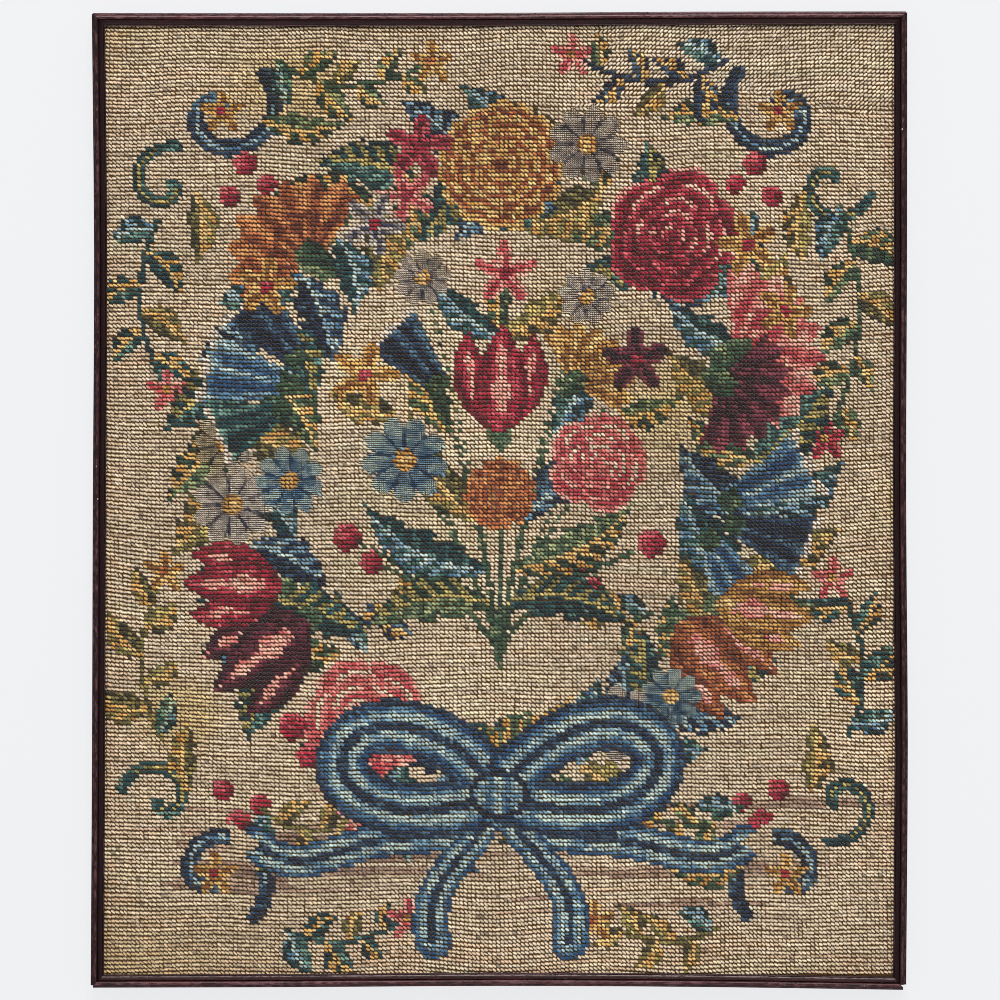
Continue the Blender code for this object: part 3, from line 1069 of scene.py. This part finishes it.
def object_places(tree, turn=(0, 0, 0), scale=(1, 1, 1)):
    """Object coordinates, turned and scaled."""
    coordinates = node(tree, "ShaderNodeTexCoord").outputs["Object"]
    inputs = {"Vector": coordinates, "Rotation": turn, "Scale": scale}
    return node(tree, "ShaderNodeMapping", inputs).outputs[0]


def noise(tree, vector, scale, detail, rough):
    """A noise's value at a place."""
    inputs = {"Vector": vector, "Scale": scale, "Detail": detail, "Roughness": rough}
    return node(tree, "ShaderNodeTexNoise", inputs).outputs[0]


def new_group(name, inputs, outputs):
    """An empty node group with named inputs and outputs, all floats but for
    those whose default is a triple."""
    group = bpy.data.node_groups.new(name, "ShaderNodeTree")
    for label, default in inputs.items():
        kind = "NodeSocketVector" if isinstance(default, tuple) else "NodeSocketFloat"
        socket = group.interface.new_socket(label, in_out="INPUT", socket_type=kind)
        socket.default_value = default
    for label in outputs:
        group.interface.new_socket(label, in_out="OUTPUT", socket_type="NodeSocketFloat")
    entry = group.nodes.new("NodeGroupInput")
    leave = group.nodes.new("NodeGroupOutput")
    return group, entry, leave


@functools.cache
def wool_fibre():
    """Loose fibre: fine hairs that run with the slant of the stitches. Puts out
    a tint about 1 and the hairs' height."""
    group, entry, leave = new_group("wool_fibre", {"Slant": 0.7}, ("Tint", "Height"))
    turned = node(group, "ShaderNodeCombineXYZ", {"Z": entry.outputs["Slant"]}).outputs[0]
    place = object_places(group, turned, (1.0, 5.0, 2.0))
    hairs = noise(group, place, 900.0, 2.0, 0.6)
    flecks = noise(group, place, 2600.0, 1.0, 0.5)
    feed(group, leave, {
        "Tint": ramp(group, hairs, 0.3, 0.72, 0.74, 1.2),
        "Height": maths(group, "MULTIPLY_ADD", flecks, 0.35, hairs),
    })
    return group


@functools.cache
def wood_grain():
    """Mahogany under old polish. Puts out the grain from 0 to 1, the broken rubbing of the polish
    from 0 to 1, which also breaks up the painted highlight on the crests, and the surface's height."""
    inputs, outputs = {"Place": (0.0, 0.0, 0.0)}, ("Grain", "Rubbed", "Height")
    group, entry, leave = new_group("wood_grain", inputs, outputs)
    place = entry.outputs["Place"]
    long, short = (
        node(group, "ShaderNodeMapping", {"Vector": place, "Scale": (reach, 1.0, 1.0)}).outputs[0]
        for reach in (0.07, 0.35)
    )
    grain = noise(group, long, 700.0, 4.0, 0.6)
    pores = noise(group, long, 2600.0, 2.0, 0.5)
    rubs = noise(group, short, 520.0, 4.0, 0.7)
    patches = noise(group, place, 26.0, 2.0, 0.5)
    broken = ramp(group, patches, 0.3, 0.62, 0.45, 1.0)
    raised = product(group, maths(group, "ADD", grain, rubs), 0.6)
    sunk = product(group, ramp(group, pores, 0.6, 0.7), 0.4)
    feed(group, leave, {
        "Grain": grain,
        "Rubbed": product(group, ramp(group, rubs, 0.42, 0.66), broken),
        "Height": maths(group, "SUBTRACT", raised, sunk),
    })
    return group


def new_material(name):
    """A material with its tree and its plain Principled shader."""
    material = bpy.data.materials.new(name)
    material.use_nodes = True
    tree = material.node_tree
    return material, tree, tree.nodes["Principled BSDF"]


def bump(tree, height, strength, distance):
    """A Bump node's normal."""
    inputs = {"Height": height, "Strength": strength, "Distance": distance}
    return node(tree, "ShaderNodeBump", inputs).outputs[0]


def wool_material(slant):
    """Tapestry wool: the yarn's own colour with a soft halo of fibre."""
    material, tree, shader = new_material("tapestry_wool")
    yarn = node(tree, "ShaderNodeAttribute", attribute_name="wool").outputs["Color"]
    fibre = node(tree, "ShaderNodeGroup", {"Slant": slant}, node_tree=wool_fibre()).outputs
    feed(tree, shader, {
        "Base Color": blend_colours(tree, 1.0, yarn, grey(tree, fibre["Tint"]), "MULTIPLY"),
        "Normal": bump(tree, fibre["Height"], 0.55, 0.12 * MM),
        "Roughness": 0.9, "Specular IOR Level": 0.2,
        "Sheen Weight": 0.12, "Sheen Roughness": 0.5,
    })
    return material


def linen_material(brown, sizes):
    """The canvas itself: brown linen threads above, mostly under a painted shade in the stitches'
    own colours, and on its back the long slanting strands of wool that carry the front's colours."""
    material, tree, shader = new_material("linen_canvas")
    place = object_places(tree)
    over, up = component(tree, place, "X"), component(tree, place, "Y")
    warp = maths(tree, "SINE", product(tree, over, math.tau / (sizes.pitch_across / 2)))
    weft = maths(tree, "SINE", product(tree, up, math.tau / (sizes.pitch_up / 2)))
    rows = maths(tree, "SINE", product(tree, up, math.tau / sizes.pitch_up))
    weave = maths(tree, "MAXIMUM", warp, weft)
    slub = ramp(tree, noise(tree, place, 420.0, 3.0, 0.6), 0.3, 0.7)
    dark, pale = (tuple(share * part for part in brown) for share in (0.6, 1.25))
    threads = blend_colours(tree, slub, dark, pale)
    carried = node(tree, "ShaderNodeAttribute", attribute_name="carried").outputs["Color"]
    # Between the stitches, fibre of their own colour lies over the linen, deepened far down as
    # painted shade in the gaps.
    fuzz_and_gap_shade = blend_colours(tree, 1.0, carried, (0.13, 0.08, 0.035), "MULTIPLY")
    above = blend_colours(tree, 0.8, threads, fuzz_and_gap_shade)
    slanted = object_places(tree, (0, 0, math.radians(-64)), (1.0, 0.16, 1.0))
    strands = noise(tree, slanted, 700.0, 2.0, 0.5)
    ribs = maths(tree, "MULTIPLY_ADD", rows, 0.5, product(tree, strands, 1.4))
    tint = ramp(tree, ribs, 0.1, 1.3, 0.35, 1.05)
    reverse = blend_colours(tree, 1.0, carried, grey(tree, tint), "MULTIPLY")
    behind = ramp(tree, surface_facing(tree), 0.1, -0.1)
    height = maths(tree, "ADD", product(tree, weave, 0.5), product(tree, ribs, behind))
    feed(tree, shader, {
        "Base Color": blend_colours(tree, behind, above, reverse),
        "Normal": bump(tree, height, 0.8, 0.3 * MM),
        "Roughness": 0.95, "Specular IOR Level": 0.15,
    })
    return material


def mahogany_material(name, finish, level):
    """Old polished mahogany for a level rail or an upright one: dark in the hollows, from old
    polish and painted shade, rubbed in broken patches along the crests, where a painted highlight
    lies too, with a few pale nicks. The upright one gets darker wood and a narrower, weaker pale
    crest, as painted shade."""
    material, tree, shader = new_material(name)
    place = object_places(tree, (0, 0, 0 if level else math.radians(-90)))
    grain = node(tree, "ShaderNodeGroup", {"Place": place}, node_tree=wood_grain()).outputs
    height = component(tree, object_places(tree), "Z")
    # Painted shade: the uprights take a darker wood than the level rails, which catch the light.
    painted_shade_warmth = 1.0 if level else 0.3
    shown = tuple(
        dark + painted_shade_warmth * (warm - dark) for dark, warm in zip(finish.wood_dark, finish.wood_warm)
    )
    warm = blend_colours(tree, ramp(tree, grain["Grain"], 0.34, 0.68), finish.wood_dark, shown)
    # Darker lower down on the moulding: old polish in the hollows, and painted shade there.
    hollow_polish_and_shade = ramp(tree, height, GROOVE_HEIGHT - 1.2 * MM, BEAD_CREST, 0.28, 1.0)
    base = blend_colours(tree, hollow_polish_and_shade, finish.wood_dark, warm)
    # Pale crest, shoulder and lip: rubbed wear, and a painted highlight where the light catches
    # them, narrower on the uprights.
    crest = ramp(tree, height, BEAD_CREST - (0.9 if level else 0.4) * MM, BEAD_CREST - 0.06 * MM)
    steps = np.array((-0.12, -0.02, 0.04, 0.16)) * MM
    shoulder = band(tree, height, *(SHOULDER_HEIGHT + steps))
    # The thin bead at the sight edge is worn along its crest, which faces up, and has a painted
    # highlight there.
    steps = np.array((-0.2, -0.03, 0.05, 0.2)) * MM
    facing_up = ramp(tree, surface_facing(tree), 0.86, 0.98)
    lip = product(tree, facing_up, band(tree, height, *(LIP_HEIGHT + steps)))
    edges = product(tree, maths(tree, "MAXIMUM", shoulder, lip), 0.8)
    wear_and_highlight = product(tree, maths(tree, "MAXIMUM", crest, edges), grain["Rubbed"])
    # How much the pale wear and painted highlight show: less on the uprights, as painted shade.
    worn = product(tree, wear_and_highlight, 0.66 if level else 0.36)
    polish = blend_colours(tree, worn, base, finish.wood_rubbed_and_lit)
    nicks = ramp(tree, noise(tree, object_places(tree), 210.0, 2.0, 0.5), 0.745, 0.775)
    feed(tree, shader, {
        "Base Color": blend_colours(tree, product(tree, nicks, crest), polish, dyed(232, 214, 200)),
        "Roughness": ramp(tree, grain["Rubbed"], 0, 1, 0.3, 0.5),
        "Normal": bump(tree, grain["Height"], 0.5, 0.2 * MM),
        "Specular IOR Level": 0.28 if level else 0.16,
        "Specular Tint": (1.0, 0.78, 0.78),
    })
    return material


def glue_mitres(material):
    """Old glue and grime that fill the four mitres: in each corner a thin upright
    plate on the diagonal, in the shape of the moulding's section a little
    lowered. A point of the section lies its inset from both outer walls."""
    section = np.array(GLUE_SECTION) * MM
    count = len(section)
    fan = np.array([(0, k, k + 1) for k in range(1, 6)] + [
        (0, 6, 12), (6, 7, 12), (7, 8, 12), (8, 11, 12), (8, 9, 11), (9, 10, 11), (0, 12, 13),
    ])
    shell = np.concatenate([fan, fan[:, ::-1] + count, walls(np.arange(count), count)])
    points, faces = [], []
    for (across, up), worn in GLUE_WORN.items():
        over, rise = (1 if across == "left" else -1), (1 if up == "bottom" else -1)
        inset = np.maximum(section[:, 0], worn * MM)
        corner_x = side_place(across, 0.0 if up == "bottom" else 1.0)
        corner_y = side_place(up, 0.0 if across == "left" else 1.0)
        plate = np.stack([corner_x + over * inset, corner_y + rise * inset, section[:, 1]], 1)
        beside = np.array((over, -rise, 0.0)) * GLUE_HALF
        step = 2 * count * len(points)
        points.append(np.concatenate([plate - beside, plate + beside]))
        faces.append((shell if over * rise > 0 else shell[:, ::-1]) + step)
    mesh = surface_mesh("mitre_glue", np.concatenate(points), np.concatenate(faces), smooth=False)
    return add_piece(mesh, material)


def linen_shell(sizes, u, v):
    """The linen as a closed sheet: the canvas's places at a grid of (u, v), a
    stitch's depth below the wool's cockled face, the same again lower by the
    linen's thickness, and walls round the rim."""
    top = CANVAS_FACE + cockle(u, v) - sizes.depth
    upper = np.stack([*canvas_point(u, v), top], -1).reshape(-1, 3)
    lower = upper - (0, 0, sizes.linen)
    index = np.arange(len(upper)).reshape(u.shape)
    a, b = index[:-1, :-1].ravel(), index[:-1, 1:].ravel()
    c, d = index[1:, 1:].ravel(), index[1:, :-1].ravel()
    face = np.concatenate([np.stack([a, b, c], 1), np.stack([a, c, d], 1)])
    rim = np.concatenate([index[0, :-1], index[:-1, -1], index[-1, :0:-1], index[:0:-1, 0]])
    faces = np.concatenate([face, face[:, ::-1] + len(upper), walls(rim, len(upper))])
    mesh = surface_mesh("linen_canvas", np.concatenate([upper, lower]), faces)
    mesh.set_sharp_from_angle(angle=math.radians(50))
    return mesh


class NEEDLEPOINT_OT_finish_frame(bpy.types.Operator):
    """Polish the four mahogany rails and fill their mitres."""

    bl_idname = "needlepoint.finish_frame"
    bl_label = "Finish the Frame"

    def execute(self, context):
        finish = context.scene.needlepoint_finish
        level = mahogany_material("mahogany_level", finish, True)
        upright = mahogany_material("mahogany_upright", finish, False)
        for name in RAILS:
            for slot in bpy.data.objects[name].material_slots:
                slot.material = level if name.endswith("_rail") else upright
        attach(glue_mitres(upright), "root")
        return {"FINISHED"}


class NEEDLEPOINT_OT_work_stitches(bpy.types.Operator):
    """Work the whole design in wool tent stitch and petit point."""

    bl_idname = "needlepoint.work_stitches"
    bl_label = "Work the Stitches"

    def execute(self, context):
        sizes = context.scene.needlepoint_sizes
        colours = context.scene.needlepoint_yarns
        chart = worked_chart(*stitch_grid(sizes))
        material = wool_material(sizes.slant)
        fine = chart.fine.reshape(chart.rows, PETIT, chart.columns, PETIT).sum((1, 3)) >= PETIT
        row, column = np.nonzero(~fine)
        at = (PETIT * row + 1, PETIT * column)
        across, up = column + 0.5, row + 0.5
        yarn = chart.yarn[at]
        wool = stitch_colours(colours, yarn, chart.tone[at], across, up, 41)
        rings = (-0.56, 0.0, 0.56)
        for piece, members in PIECES.items():
            chosen = np.flatnonzero(np.isin(yarn, [YARN_NAMES.index(member) for member in members]))
            bands = math.ceil(len(chosen) / PIECE_STITCHES)
            for number, part in enumerate(np.array_split(chosen, bands), 1):
                name = f"{piece}_{number}" if bands > 1 else piece
                work_stitches(name, sizes, across[part], up[part], wool[part], 1.0, rings, material)
        crossing = fine.repeat(PETIT, 0).repeat(PETIT, 1)
        row, column = np.nonzero(crossing)
        across, up = (column + 0.5) / PETIT, (row + 0.5) / PETIT
        wool = stitch_colours(colours, chart.yarn[crossing], chart.tone[crossing], across, up, 42)
        work_stitches("petit_point", sizes, across, up, wool, 1 / PETIT, (-0.42, 0.42), material)
        return {"FINISHED"}


class NEEDLEPOINT_OT_lay_linen(bpy.types.Operator):
    """Stretch the linen canvas behind the stitches, in the frame's rebate."""

    bl_idname = "needlepoint.lay_linen"
    bl_label = "Lay the Linen"

    def execute(self, context):
        sizes = context.scene.needlepoint_sizes
        colours = context.scene.needlepoint_yarns
        u, v = np.meshgrid(*(np.linspace(0, 1, cells + 1) for cells in LINEN_CELLS))
        mesh = linen_shell(sizes, u, v)
        chart = worked_chart(*stitch_grid(sizes))
        rows, columns = chart.tone.shape
        at = (
            np.minimum((v * rows).astype(int), rows - 1),
            np.minimum((u * columns).astype(int), columns - 1),
        )
        carried = 0.85 * yarn_colours(colours, chart.yarn[at], chart.tone[at]).reshape(-1, 3)
        paint_points(mesh, "carried", np.concatenate([carried, carried]))
        brown = context.scene.needlepoint_finish.linen_brown
        linen = add_piece(mesh, linen_material(brown, sizes))
        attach(linen, "root")
        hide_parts("canvas")
        stitches = [
            obj for obj in context.scene.objects
            if "wool" in getattr(obj.data, "color_attributes", {})
        ]
        return {"FINISHED"}


class NEEDLEPOINT_OT_set_stage(bpy.types.Operator):
    """Set the pale floor, the soft lights and the camera above the panel."""

    bl_idname = "needlepoint.set_stage"
    bl_label = "Set the Stage"

    def execute(self, context):
        scene = context.scene
        self.lay_floor()
        self.hang_lights(scene, scene.needlepoint_studio)
        self.place_camera(scene, scene.needlepoint_studio)
        scene.view_settings.view_transform = "Standard"
        scene.cycles.filter_width = 0.9
        return {"FINISHED"}

    def lay_floor(self):
        """A wide pale square, level, just under the panel's back, with an even
        glow as a light table has."""
        reach, drop = 6.0, 0.2 * MM
        corners = np.array(((-1, -1), (1, -1), (1, 1), (-1, 1))) * reach
        points = np.column_stack([corners, np.full(4, -drop)])
        mesh = surface_mesh("studio_floor", points, np.array(((0, 1, 2), (0, 2, 3))), smooth=False)
        material, tree, shader = new_material("pale_floor")
        feed(tree, shader, {
            "Emission Color": (0.77, 0.775, 0.795), "Emission Strength": 1.0,
            "Base Color": (0.07, 0.07, 0.07), "Roughness": 0.9, "Specular IOR Level": 0.0,
        })
        add_piece(mesh, material)

    def hang_lights(self, scene, studio):
        """A softbox beyond the top rail, and pale surroundings."""
        elevation, distance = math.radians(50), 4.0
        lamp = bpy.data.lights.new("softbox", "AREA")
        lamp.shape = "RECTANGLE"
        lamp.size, lamp.size_y = 1.8, 0.9
        lamp.energy = studio.key_power
        lamp.color = (1.0, 0.985, 0.96)
        softbox = bpy.data.objects.new("softbox", lamp)
        softbox.location = (0.15, distance * math.cos(elevation), distance * math.sin(elevation))
        softbox.rotation_euler = (elevation - math.pi / 2, 0, 0)
        scene.collection.objects.link(softbox)
        world = bpy.data.worlds.new("pale_studio")
        world.use_nodes = True
        surroundings = {"Color": (0.965, 0.975, 1.0), "Strength": studio.daylight}
        feed(world.node_tree, world.node_tree.nodes["Background"], surroundings)
        scene.world = world

    def place_camera(self, scene, studio):
        """Straight above the frame, within half a millimetre of its middle. The
        lens follows from the picture's width at the crests."""
        lens = bpy.data.cameras.new("camera")
        lens.sensor_width = 36
        lens.lens = lens.sensor_width * (studio.camera_height - BEAD_CREST) / studio.view_width
        lens.clip_start, lens.clip_end = 0.05, 30
        camera = bpy.data.objects.new("camera", lens)
        aside, ahead = 0.45 * MM, 0.4 * MM
        camera.location = (aside, ahead, studio.camera_height)
        scene.collection.objects.link(camera)
        scene.camera = camera


class NEEDLEPOINT_PT_sidebar(bpy.types.Panel):
    """Lists the steps and the values they read."""

    bl_idname = "NEEDLEPOINT_PT_sidebar"
    bl_label = "Needlepoint Panel"
    bl_space_type = "VIEW_3D"
    bl_region_type = "UI"
    bl_category = "Needlepoint"

    def draw(self, context):
        for step in STEPS:
            self.layout.operator(step.bl_idname)
        for group in GROUPS:
            values = getattr(context.scene, group)
            column = self.layout.column()
            for key in values.bl_rna.properties.keys():
                if key not in ("rna_type", "name"):
                    column.prop(values, key)


GROUPS = {
    "needlepoint_sizes": StitchSizes,
    "needlepoint_yarns": YarnColours,
    "needlepoint_finish": FrameFinish,
    "needlepoint_studio": StudioSizes,
}
STEPS = (
    NEEDLEPOINT_OT_finish_frame,
    NEEDLEPOINT_OT_work_stitches,
    NEEDLEPOINT_OT_lay_linen,
    NEEDLEPOINT_OT_set_stage,
)
CLASSES = (*GROUPS.values(), *STEPS, NEEDLEPOINT_PT_sidebar)


def register():
    for cls in CLASSES:
        bpy.utils.register_class(cls)
    for key, group in GROUPS.items():
        setattr(bpy.types.Scene, key, PointerProperty(type=group))


def unregister():
    for key in GROUPS:
        delattr(bpy.types.Scene, key)
    for cls in reversed(CLASSES):
        bpy.utils.unregister_class(cls)


def main():
    register()
    bpy.ops.needlepoint.finish_frame()
    bpy.ops.needlepoint.work_stitches()
    bpy.ops.needlepoint.lay_linen()
    bpy.ops.needlepoint.set_stage()


if __name__ == "__main__":
    main()
